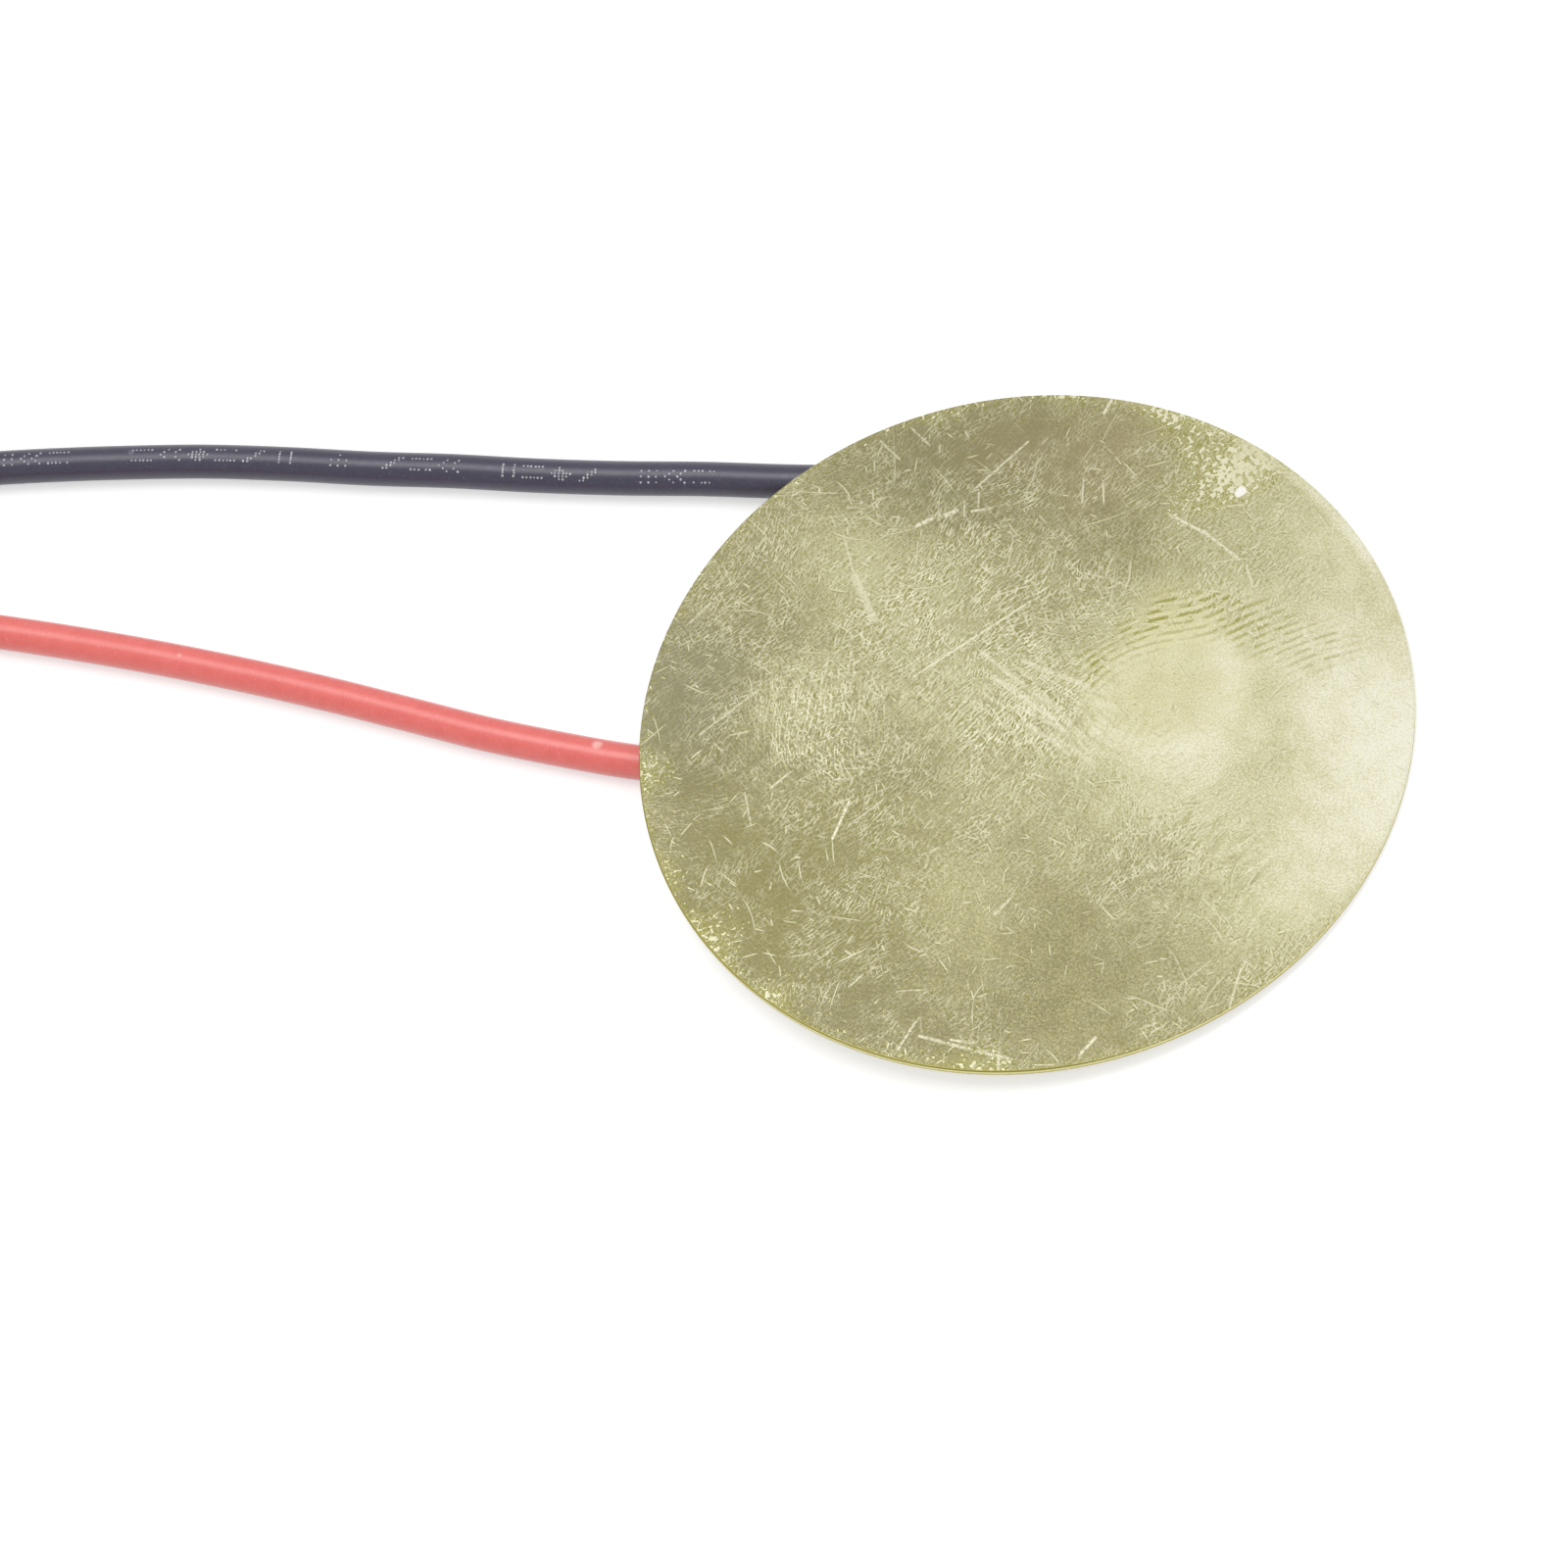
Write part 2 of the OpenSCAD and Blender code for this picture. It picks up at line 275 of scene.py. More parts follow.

# Tone of the face, from 0 for dull olive to 1.25 for pale brass: tarnish and wear, with a painted reflection
# that makes the right side paler
tone = patches(tree, wavy, 0.25, [
    # The right side, cleaner and made paler still by a painted reflection
    (18, -1, 12.4, 0.97), (10, 12, 18, 0.2), (12.5, 5, 7, 0.3), (12, 9, 5, 0.14), (13, 9, 5, 0.08),
    (11, 8.5, 3, -0.12), (13, 12.5, 5, 0.2, 2), (13, -8, 7, 0.36), (11, -10, 6, 0.12),
    # Round the thumb print
    (8, -3, 6, 0.22), (7, -3.6, 4.6, 0.18, 0.6), (4, -3, 5, 0.16), (5, -5, 7, 0.16), (6, -6, 3.2, -0.22),
    (4, 5, 4, 0.14), (8, 9, 5, 0.08), (9, 6.8, 3, 0.14), (6, 6.4, 2.4, 0.14), (10, 4, 2.4, 0.12),
    # The middle, rubbed bright
    (0, 1, 6, 0.3), (-1, 1.5, 3, 0.12), (1.6, -0.6, 2.6, 0.14), (0, -4, 2.5, 0.12), (-2.5, -4, 3.5, 0.18),
    (-5, -2, 3, -0.1), (-5, 0.5, 4, 0.16), (-4, 2.4, 3, 0.1), (-6, 5.5, 6, 0.29), (-10, 1, 4, 0.27),
    # The upper rim, dull but for two patches
    (8, 14, 3, 0.25), (8, 14, 2.5, 0.14), (6.3, 14, 2.4, -0.14), (0, 14, 8, -0.22), (3, 10, 4, -0.14),
    (-8, 14, 6, -0.26), (-3, 14, 6, -0.12), (-4, 12.5, 5, -0.18), (-6.2, 14.2, 3.4, -0.12),
    (-3, 10.5, 3, 0.1), (-9, 9.5, 4, 0.14), (-9, 8, 4, 0.1), (-10, 8, 4.5, 0.09),
    # The left rim, dull
    (-17, 0, 6, -0.24), (-16.5, 2, 3.4, -0.16), (-15, 1, 4, -0.06), (-14, 4, 6, -0.14),
    (-14.5, -2.5, 4, -0.18), (-13, -6, 6, -0.18), (-13, -9, 3, -0.1),
    # The lower rim, dull on the left and brighter towards the middle
    (-9, -17, 19, -0.2), (-10, -10, 6, -0.24), (-12, -10.5, 5, -0.2), (-10, -11.5, 3.5, -0.1),
    (-10, -11.5, 4, -0.06), (-8, -13, 4, -0.1), (-7, -15, 6, -0.2), (0, -14.5, 4, -0.1), (3, -12, 7, -0.02),
    (-1, -12, 4.5, 0.15), (-3, -8, 3.5, 0.14), (-1.5, -8.5, 4, 0.22),
])
rim = measure(tree, "LENGTH", flat)
# The rim at the upper right is made paler
upper_right = patches(tree, flat, 0, [(10, 14, 11, 1, 6)])
pale_upper_rim = calc(tree, "MULTIPLY", smooth(tree, rim, 16.8, 17.3, 0, 0.3), upper_right)
tone = calc(tree, "ADD", tone, pale_upper_rim)
wiped = patches(tree, wavy, 0, [(4.9, 1.2, 4.2, 1, 1.2), (6.8, 3.4, 3.8, 1, 1.6), (7.8, 0.3, 3.8, 0.8, 0.8)])
tone = calc(tree, "MULTIPLY_ADD", clamped(tree, wiped), 0.5, tone)
lumps = speckle(tree, flat, 1.1, 4, 5)
tone = calc(tree, "ADD", tone, smooth(tree, lumps, 0.3, 0.7, -0.06, 0.06))
# Where the face is pale: clean metal, and on the right the painted reflection; the fine noise and the marks
# fade there
clean_and_reflection = smooth(tree, tone, 0.62, 0.95)
fine = speckle(tree, flat, 0.16, 2, 9)
fine_depth = smooth(tree, clean_and_reflection, 0, 1, 1, 0.6)
fine_tone = calc(tree, "MULTIPLY", smooth(tree, fine, 0.25, 0.75, -0.12, 0.12), fine_depth)
tone = calc(tree, "ADD", tone, fine_tone)
grain = speckle(tree, flat, 0.09, 0, 11)
tone = calc(tree, "ADD", tone, smooth(tree, grain, 0.2, 0.8, -0.13, 0.13))

# Smears: soft streaks a few tenths of a millimetre wide, where the face was rubbed hardest
bend_place = shift(tree, "ADD", flat, (9, 4, 0))
bend = add(tree, "TexNoise", bend_place, None, 0.22, 0.0, noise_dimensions="2D").outputs["Color"]
bent = swayed(tree, flat, bend, 1.6)
for width, long, turn, seed, depth, spots in [
    (0.3, 4, -38, 21, 0.24, [(0.6, 1.4, 4.2, 1, 1.6), (3, -1, 3, 0.4)]),
    (0.17, 5, 98, 22, 0.2, [(-9.8, -0.4, 4.6, 1, 2), (-5, 2, 3.4, 0.7, 1), (3.4, -4, 3, 0.5)]),
    (0.34, 3, 60, 23, 0.12, [(9, -6.5, 4.5, 1, 1.5), (-5, 2.5, 4, 0.8, 1), (3.5, 0.5, 2.6, 0.5)]),
]:
    rubbed = clamped(tree, patches(tree, wavy, 0, spots))
    streak = smooth(tree, speckle(tree, bent, width, 2, seed, long, turn), 0.32, 0.68, -depth, depth)
    tone = calc(tree, "MULTIPLY_ADD", rubbed, streak, tone)

# Strokes: most lean one way across the face, with patches that lean otherwise, and long ones every way
busy = smooth(tree, speckle(tree, flat, 2.2, 4, 6), 0.33, 0.66, 0.3, 0.68)
busy = patches(tree, wavy, busy, [
    # Much handled: a band from the left side across the middle
    (-9.5, 0, 5, 0.7), (-5, 6, 6, 0.32), (0, 1, 5.5, 0.55), (2, 6, 4, 0.4), (-1, 10, 6, 0.15),
    (6, -6, 4, 0.3), (6.5, -2.5, 3.6, 0.3), (-6, -10, 4, 0.12),
    # Little handled: the rim, and the clean patches, where on the right the painted reflection also washes
    # the strokes out
    (16, 0, 9, -0.6), (14, 10, 7, -0.35), (13, -8, 6, -0.2), (7, 2.5, 5, -0.45, 2.4), (2.5, 10.5, 4, -0.25),
    (0, 16, 7, -0.35), (-5.5, 14.3, 3.4, -0.4), (-16, 1, 4, -0.25), (-15, -3, 5, -0.2),
    (-13, -5.5, 4, -0.15), (-10, -9, 6, -0.15), (-12, -11, 6, -0.2), (-2, -15, 11, -0.3),
    (2, -9, 4, -0.3), (3, -12, 5, -0.2), (5, -13, 5, -0.45),
])
gaps = smooth(tree, speckle(tree, flat, 0.55, 2, 16), 0.34, 0.6, 0.45, 1.1)
busy = calc(tree, "MULTIPLY", clamped(tree, busy), gaps)
upright = patches(tree, wavy, 0, [(-9.5, -0.5, 5, 0.9, 2), (4, -4, 4.5, 0.8, 1), (-3, -8, 4, 0.6)])
flatter = patches(tree, wavy, 0, [(-15, -5.5, 4.5, 1, 2), (3, 5.5, 4, 0.8, 1), (8, -10, 5, 0.7),
                                  (-9, 12, 5, 0.7)])
otherwise = calc(tree, "MULTIPLY", calc(tree, "ADD", upright, flatter), 0.75)
leaning = calc(tree, "SUBTRACT", 1, otherwise)
bright, dull = 0.0, 0.0
for length, width, turn, few, where, strength, seed in [
    (0.42, 0.11, 66, 0.01, leaning, 1, 1), (0.8, 0.115, 40, 0.03, leaning, 1, 2),
    (0.6, 0.11, 98, 0.01, upright, 1, 3), (0.5, 0.11, 16, 0.01, flatter, 1, 4),
    (0.7, 0.11, 130, 0.06, 1, 0.8, 6), (0.2, 0.15, 20, 0.08, 1, 0.9, 5),
]:
    for_this = calc(tree, "MULTIPLY", calc(tree, "MULTIPLY", where, strength), busy)
    lit, painted_shadow = strokes(tree, bent, length, width, turn, seed, few)
    bright = calc(tree, "MAXIMUM", bright, calc(tree, "MULTIPLY", lit, for_this))
    dull = calc(tree, "MAXIMUM", dull, calc(tree, "MULTIPLY", painted_shadow, for_this))
often = calc(tree, "MULTIPLY_ADD", busy, 0.5, 0.25)
for cell, length, strength, seed in [
    (0.7, 0.8, 0.75, 1), (1.3, 1.7, 0.68, 2), (2.2, 3.4, 0.64, 3), (3.1, 4.8, 0.6, 4),
]:
    lit, painted_shadow = scuffs(tree, bent, cell, length, 0.075, seed, often)
    bright = calc(tree, "MAXIMUM", bright, calc(tree, "MULTIPLY", lit, strength))
    dull = calc(tree, "MAXIMUM", dull, calc(tree, "MULTIPLY", painted_shadow, strength))

# Scratches that stand out one by one
cut = scratches(tree, flat, [
    # The upper half: one long arc on the right, the rest short
    (5.1, 11.4, 6.9, 10.5, 0.13, 1), (6.9, 10.5, 8.6, 9.2, 0.13, 0.9), (9, 8.9, 9.4, 7.8, 0.09, 0.8),
    (1.8, 17.4, 1.5, 16.6, 0.12, 1), (1, 13.1, 1.1, 11.8, 0.08, 0.7), (1.9, 13, 2.1, 11.8, 0.08, 0.8),
    (-5.4, 2.3, -0.6, 6.5, 0.09, 1), (-3.9, 12.3, -1.8, 14.9, 0.09, 0.8), (-4.3, 11.6, -4.2, 10.8, 0.08, 0.7),
    (-3.7, 12.1, -3.6, 11.2, 0.08, 0.7), (-6.3, 10.2, -5.7, 10.6, 0.19, 1), (-5.1, 10.8, -4.6, 11.1, 0.19, 1),
    (-3.9, 11.1, -3.1, 11.3, 0.12, 0.9), (-9.6, 9.5, -8.8, 7.4, 0.1, 0.6), (-8.8, 7.4, -7.6, 5.2, 0.32, 0.65),
    (-8.6, 14.6, -7.6, 13.7, 0.1, 0.6), (-7.3, 15.4, -6.3, 14.5, 0.1, 0.6), (-16, 4.6, -15.2, 5.7, 0.1, 0.7),
    # The left side
    (-14.7, -1.2, -12.3, 1.3, 0.08, 0.7), (-7.4, -4.2, -7.9, -6.2, 0.11, 1),
    (-7.3, -5.5, -5.9, -4.1, 0.08, 0.6), (-10.3, -2.9, -11.1, -3.8, 0.1, 0.8),
    (-12.2, -4.1, -11.7, -5.7, 0.08, 0.6),
    # The lower half, with a broken line close to the rim
    (-6.1, -13.6, -5.6, -13, 0.1, 0.7), (-0.1, -9.6, 0.5, -8.8, 0.12, 0.7), (13.4, -5.4, 12.2, -8, 0.08, 0.5),
    (12.2, -8, 11.4, -9.4, 0.08, 0.6), (9.1, -8.3, 10.2, -9.4, 0.08, 0.6), (8.3, -13, 9.8, -11.4, 0.07, 0.6),
    (10.9, -13.8, 11.2, -11.7, 0.09, 0.9), (5.2, -15.5, 4.6, -16.4, 0.12, 0.9),
    (1, -16.3, 1.1, -17.6, 0.1, 0.8), (-3.5, -16.6, -2.9, -15.2, 0.1, 0.8),
    (-2.6, -15.9, -0.4, -16.4, 0.14, 0.7), (-1.2, -16, -0.2, -16.1, 0.12, 0.8),
    (0, -16.5, 1.6, -16.8, 0.13, 0.7),
    # Wide smears across the middle
    (-1.7, 2.5, 1.3, 0.4, 0.24, 0.8), (-2.5, 3.8, -0.3, 2.1, 0.18, 0.7), (-0.5, 3.4, 2.6, 2.2, 0.22, 0.75),
    (0.2, 0.1, 2.2, -1.3, 0.22, 0.65), (-0.6, 1.1, 1.8, -0.1, 0.18, 0.75), (1, 0.5, 3.4, -1.9, 0.16, 0.5),
    (0.4, 1.6, 1.6, 0.9, 0.3, 0.6), (1.1, 0.3, 2.1, -0.2, 0.3, 0.6),
])
ragged = smooth(tree, speckle(tree, flat, 0.17, 2, 8), 0.32, 0.54, 0.4, 1)
bright = calc(tree, "MAXIMUM", bright, calc(tree, "MULTIPLY", cut, ragged))

# Pits with an olive edge: thick by the upper rim, thinner round the left and lower rim
stain = patches(tree, wavy, smooth(tree, rim, 16.5, 17.45, 0, 0.42), [
    # None on the right
    (17.5, 2, 12, -0.42, 6), (13, 11.5, 5, -0.3, 2), (11, -13.5, 5, -0.2, 1),
    # Thick by the upper rim
    (7.4, 13.6, 3.3, 1.2), (5.2, 15.6, 2.1, 0.7), (3.8, 16.6, 1.7, 0.7), (8.9, 14.3, 2, 0.6),
    (5.6, 11.6, 1.6, 0.4), (0, 17.3, 2.4, 0.3), (-6, 16.3, 2, 0.3),
    # Thinner on the left and below
    (-16.4, -3.2, 1.6, 0.6), (-15, -8.3, 1.7, 0.5), (-12.4, -11.4, 2.4, 0.7), (-9.2, -14.2, 1.7, 0.6),
    (0, -16.8, 2.4, 0.5), (12, -12.3, 2, 0.3),
])
worn = calc(tree, "MULTIPLY_ADD", stain, 0.28, speckle(tree, flat, 0.27, 2, 12))
lower_left = patches(tree, flat, 0, [(-9, -15.5, 19, 1, 12)])
pit = calc(tree, "MULTIPLY", smooth(tree, worn, 0.78, 0.83), smooth(tree, lower_left, 0, 1, 1, 0.9))
pit_edge = calc(tree, "SUBTRACT", smooth(tree, worn, 0.68, 0.77), pit)
white_spot = smooth(tree, measure(tree, "DISTANCE", wavy, (8.35, 13.02, 0)), 0.37, 0.24)

# The thumb print: curved ridges over the clean patch, fanning out towards the right
ridge_gap = 0.42
print_place = swayed(tree, flat, bend, 0.6)
fan = measure(tree, "DISTANCE", print_place, (8.6, -1.8, 0))
slanted = calc(tree, "ADD", measure(tree, "DOT_PRODUCT", print_place, (-0.45, 0.893, 0)), 5.8)
right_half = smooth(tree, add(tree, "SeparateXYZ", print_place).outputs[0], 4.5, 9)
ridge_run = calc(tree, "MULTIPLY_ADD", right_half, calc(tree, "SUBTRACT", slanted, fan), fan)
ridges = calc(tree, "SINE", calc(tree, "MULTIPLY", ridge_run, 2 * math.pi / ridge_gap))
print_area = clamped(tree, patches(tree, flat, 0.0, [
    (2.2, 2.6, 1.6, 0.6, 0.6), (3.1, 3.4, 1.6, 0.7, 0.6), (4.6, 4.9, 1.7, 0.9, 0.6), (6.2, 6.1, 1.9, 1, 0.8),
    (8.2, 6.3, 2, 1, 0.8), (10.2, 5.6, 2, 1, 0.8), (12.2, 4.8, 2, 0.9, 0.8), (13.8, 5, 1.6, 0.6, 0.4),
    (5.5, -1, 3, 0.3, 1),
]))
broken = smooth(tree, speckle(tree, flat, 0.36, 2, 14, 2, 30), 0.4, 0.54)
printed = calc(tree, "MULTIPLY", print_area, broken)
between = calc(tree, "MULTIPLY", smooth(tree, ridges, -0.1, -0.8), printed)
ridges = calc(tree, "MULTIPLY", smooth(tree, ridges, -0.1, 0.8), printed)

# Colours: the ramp of the tone, the tints, then the painted shadows beside the strokes, the ridges, the
# bright strokes with their painted highlights, and the pits
ramp_end = 1.25
stops = [(0, (138, 132, 97)), (0.16, (155, 149, 110)), (0.336, (172, 167, 125)), (0.496, (188, 184, 143)),
         (0.64, (203, 199, 160)), (0.76, (216, 212, 179)), (0.88, (225, 222, 196)), (1, (233, 231, 211))]
ramp = add(tree, "ValToRGB", calc(tree, "MULTIPLY", tone, 1 / ramp_end))
while len(ramp.color_ramp.elements) < len(stops):
    ramp.color_ramp.elements.new(0.5)
for element, (at, colour) in zip(ramp.color_ramp.elements, stops):
    element.position = at
    element.color = paint(*colour)
colour = mixed(tree, smooth(tree, stain, 0.15, 0.9, 0, 0.35), ramp.outputs[0], paint(176, 171, 104))
# The tints are brown by the upper rim, yellow round the print, green at the lower left, grey at the left
for spots, tint in (
    ([(1.5, 14, 4.6, 0.45), (-3, 14.5, 3.5, 0.3)], (158, 143, 112)),
    ([(6.2, 2.8, 6, 0.4, 1), (6, 6.2, 2.8, 0.3, 1)], (212, 207, 158)),
    ([(-8.5, -8, 8, 0.35, 3)], (142, 136, 82)),
    ([(-16.5, 1.5, 5, 0.5, 2)], (142, 139, 112)),
):
    colour = mixed(tree, patches(tree, wavy, 0, spots), colour, paint(*tint))
fainter = smooth(tree, clean_and_reflection, 0, 1, 1, 0.45)
# dull is the painted shadow beside each stroke; bright is the painted highlight on the strokes and the bright
# metal of the single scratches
for amount, strength, over in (
    (dull, 0.78, (136, 133, 66)), (ridges, 1.0, (150, 146, 68)), (between, 0.4, (232, 228, 190)),
    (bright, 0.92, (231, 228, 200)), (pit_edge, 0.75, (138, 134, 56)), (pit, 0.85, (228, 225, 195)),
):
    share = calc(tree, "MULTIPLY", calc(tree, "MULTIPLY", amount, strength), fainter)
    colour = mixed(tree, share, colour, paint(*over))
colour = mixed(tree, white_spot, colour, paint(242, 240, 232))

# The rolled edge on the lower left is darker and rougher, so that it has no glint
turned_rim = smooth(tree, rim, 17.38, 17.44)
dark_rim = calc(tree, "MULTIPLY", turned_rim, lower_left)
colour = mixed(tree, dark_rim, colour, paint(132, 125, 70))
dress(tree, shader, colour, 1, smooth(tree, dark_rim, 0, 1, 0.17, 0.4), fine, 0.004)

# The punched side, bright above and torn below, and the plain rolled back
side, tree, shader = finish_of("punched_side")
place = on_plate(tree)
depth = add(tree, "SeparateXYZ", place).outputs[2]
drag = cloud(tree, shift(tree, "MULTIPLY", place, (1, 1, 0.08)), 0.05, 2, 0.6)
tear = smooth(tree, calc(tree, "MULTIPLY_ADD", drag, 0.08, depth), -0.16, -0.1)
colour = mixed(tree, tear, paint(186, 177, 118), paint(222, 216, 150))
colour = mixed(tree, smooth(tree, drag, 0.4, 0.7, 0, 0.4), colour, paint(226, 220, 180))
dress(tree, shader, colour, 1, smooth(tree, tear, 0, 1, 0.6, 0.4), drag, 0.008)

back_face, tree, shader = finish_of("rolled_back")
place = on_plate(tree)
rolled = cloud(tree, shift(tree, "MULTIPLY", place, (0.15, 1, 1)), 0.06, 3, 0.6)
cloudy = cloud(tree, place, 3, 3, 0.6)
colour = mixed(tree, smooth(tree, cloudy, 0.35, 0.65), paint(176, 168, 118), paint(198, 191, 142))
colour = mixed(tree, smooth(tree, rolled, 0.5, 0.75, 0, 0.3), colour, paint(220, 214, 172))
dress(tree, shader, colour, 1, smooth(tree, rolled, 0.3, 0.7, 0.3, 0.42), rolled, 0.004)


def turned(profile, sides, origin=face_middle):
    """Points and quads of a piece turned about an axis like the plate's. The profile is (radius, height)."""
    points, faces, rings = [], [], []
    for r, z in profile:
        ring = []
        for k in range(sides if r > 0 else 1):
            a = 2 * math.pi * k / sides
            points.append(origin + MM * (plate_tilt @ Vector((r * math.cos(a), r * math.sin(a), z))))
            ring.append(len(points) - 1)
        rings.append(ring)
    for inner, outer in zip(rings, rings[1:]):
        for k in range(sides):
            quad = (inner[k % len(inner)], outer[k % len(outer)], outer[(k + 1) % len(outer)],
                    inner[(k + 1) % len(inner)])
            faces.append(tuple(dict.fromkeys(quad)))
    return points, faces


plate_r = plate_d / 2
plate_sides = 288
lower_edge = 0.015
face_profile = [(r, 0) for r in (0, 5, 10, 14, 16.5, 17.2, 17.425)]
for degrees in range(0, 91, 15):
    a = math.radians(degrees)
    face_profile.append((plate_r - roll_r + roll_r * math.sin(a), -roll_r + roll_r * math.cos(a)))
side_profile = [(plate_r, -0.12), (plate_r, -0.2), (plate_r, -plate_t + lower_edge),
                (plate_r - lower_edge, -plate_t)]
back_profile = [(r, -plate_t) for r in (17.2, 14, 8, 0)]
points, faces = turned(face_profile + side_profile + back_profile, plate_sides)
plate = show("brass_disc", points, faces, [brass, side, back_face], ["brass_plate"])
finish_of_band = [0] * (len(face_profile) - 1) + [1] * len(side_profile) + [2] * len(back_profile)
for n, face in enumerate(plate.data.polygons):
    face.material_index = finish_of_band[n // plate_sides]


# Under the plate: the ceramic, silvered on both sides and stuck on with a film of amber epoxy.
# The silver is printed on as a paste and fired, a little short of the ceramic's edge.
amber, tree, shader = finish_of("amber_epoxy")
place = on_plate(tree)
ripple = cloud(tree, place, 0.8, 2, 0.5)
colour = mixed(tree, ripple, paint(176, 134, 62), paint(208, 172, 98))
dress(tree, shader, colour, 0, 0.15, ripple, 0.02)
shader.inputs["Coat Weight"].default_value = 0.5

silver, tree, shader = finish_of("fired_silver")
place = on_plate(tree)
paste = cloud(tree, place, 0.05, 3, 0.7)
mesh_marks = cloud(tree, place, 1.5, 3, 0.6, 3)
colour = mixed(tree, smooth(tree, mesh_marks, 0.35, 0.65), paint(204, 203, 198), paint(214, 213, 209))
colour = mixed(tree, smooth(tree, paste, 0.55, 0.8, 0, 0.4), colour, paint(236, 235, 232))
dress(tree, shader, colour, 0.85, smooth(tree, paste, 0.3, 0.7, 0.45, 0.62), paste, 0.006)

ceramic, tree, shader = finish_of("lapped_ceramic")
place = on_plate(tree)
dust = cloud(tree, place, 0.04, 3, 0.7)
bake = cloud(tree, place, 2, 3, 0.6, 1)
colour = mixed(tree, bake, paint(222, 214, 190), paint(236, 230, 210))
colour = mixed(tree, smooth(tree, dust, 0.6, 0.8, 0, 0.5), colour, paint(196, 186, 160))
dress(tree, shader, colour, 0, 0.7, dust, 0.005)

for node, layer_finish in (("bond_film", amber), ("inner_electrode", silver), ("ceramic_disc", ceramic),
                           ("outer_electrode", silver)):
    layer = frame["nodes"][node]
    layer.data.materials.clear()
    layer.data.materials.append(layer_finish)


# The two leads: stranded hook-up wire in soft vinyl, red to the silver and black to the brass.
# Each runs from its cut end below the plate along the table, and its spare length is a flat coil.
# The turns touch, the tail bends into the open middle, and the far end is twisted and tinned.
lead_d = 1.6
bore_r = 0.4
cut_edge = 0.05
bore_depth = 0.3
coil_r = 10
coil_turns = 1.5
tail_bend_r = 4.5
tail_bend = 90
tail_end = 1.5
tip_length = 5
tip_taper = 0.12
tip_taper_steps = 1.5
solder_fill = 0.03
strand_r = 0.125
strand_lay_r = 0.258
strand_lay = 10
red_side, black_side = -1, 1
red_route = [
    (-12, -2.2), (-15, -2.1), (-18, -1.8), (-21, -1.3), (-25, -0.5), (-29, 0.5), (-33, 1.5), (-37, 2.4),
    (-41, 3.2), (-45, 3.9), (-49, 4.5), (-53, 5), (-57, 5.4), (-61.5, 5.6), (-66, 5.6),
]
black_route = [
    (-10.1, 13.1), (-13, 13.1), (-17, 13.2), (-21, 13.2), (-25, 13.3), (-29, 13.5), (-33, 13.6), (-37, 13.8),
    (-41, 13.9), (-45, 13.8), (-49, 13.6), (-53, 13.3), (-57, 13), (-61, 12.9), (-65, 12.9),
]
up = Vector((0, 0, 1))


def curve(a, b, c, d, t):
    """A point between b and c on the smooth curve through all four, for t from 0 to 1."""
    return 0.5 * (2 * b + (c - a) * t + (2 * a - 5 * b + 4 * c - d) * t ** 2
                  + (3 * b - a - 3 * c + d) * t ** 3)


def lead_line(route, side):
    """The middle of a lead, as points in metres close together, and the way that its end points."""
    knots = [Vector((x, y, lead_d / 2)) for x, y in route]
    knots = [2 * knots[0] - knots[1], *knots, 2 * knots[-1] - knots[-2]]
    steps = 6
    line = []
    for stretch in zip(knots, knots[1:], knots[2:], knots[3:]):
        line += [curve(*stretch, step / steps) for step in range(steps)]
    centre = Vector((route[-1][0], route[-1][1] + side * coil_r, lead_d / 2))

    def off_centre(r, degrees):
        a = math.radians(degrees)
        return Vector((-r * math.sin(a), -side * r * math.cos(a), 0))

    coil_end = 360 * coil_turns
    for degrees in range(0, int(coil_end) + 1, 6):
        line.append(centre + off_centre(coil_r - lead_d * degrees / 360, degrees))
    tail_centre = centre + off_centre(coil_r - lead_d * coil_turns - tail_bend_r, coil_end)
    for degrees in range(10, tail_bend + 1, 10):
        line.append(tail_centre + off_centre(tail_bend_r, coil_end + degrees))
    end = math.radians(coil_end + tail_bend)
    way = Vector((-math.cos(end), side * math.sin(end), 0))
    line.append(line[-1] + tail_end * way)
    return [p * MM for p in line], way


def circle(r, sides):
    """Points round a circle, for a radius in mm, in metres."""
    return [(r * MM * math.cos(2 * math.pi * k / sides), r * MM * math.sin(2 * math.pi * k / sides))
            for k in range(sides)]


def skin(rings, sides):
    """Quads between rings of points that follow one another, and a flat end at each end."""
    faces = []
    for start in range(0, (rings - 1) * sides, sides):
        for k in range(sides):
            a, b = start + k, start + (k + 1) % sides
            faces.append((a, b, b + sides, a + sides))
    faces.append(tuple(reversed(range(sides))))
    faces.append(tuple(range((rings - 1) * sides, rings * sides)))
    return faces


def millimetres(tree):
    """Where a point lies in the frame, in millimetres."""
    place = add(tree, "TexCoord").outputs["Object"]
    return shift(tree, "MULTIPLY", place, (1 / MM, 1 / MM, 1 / MM))


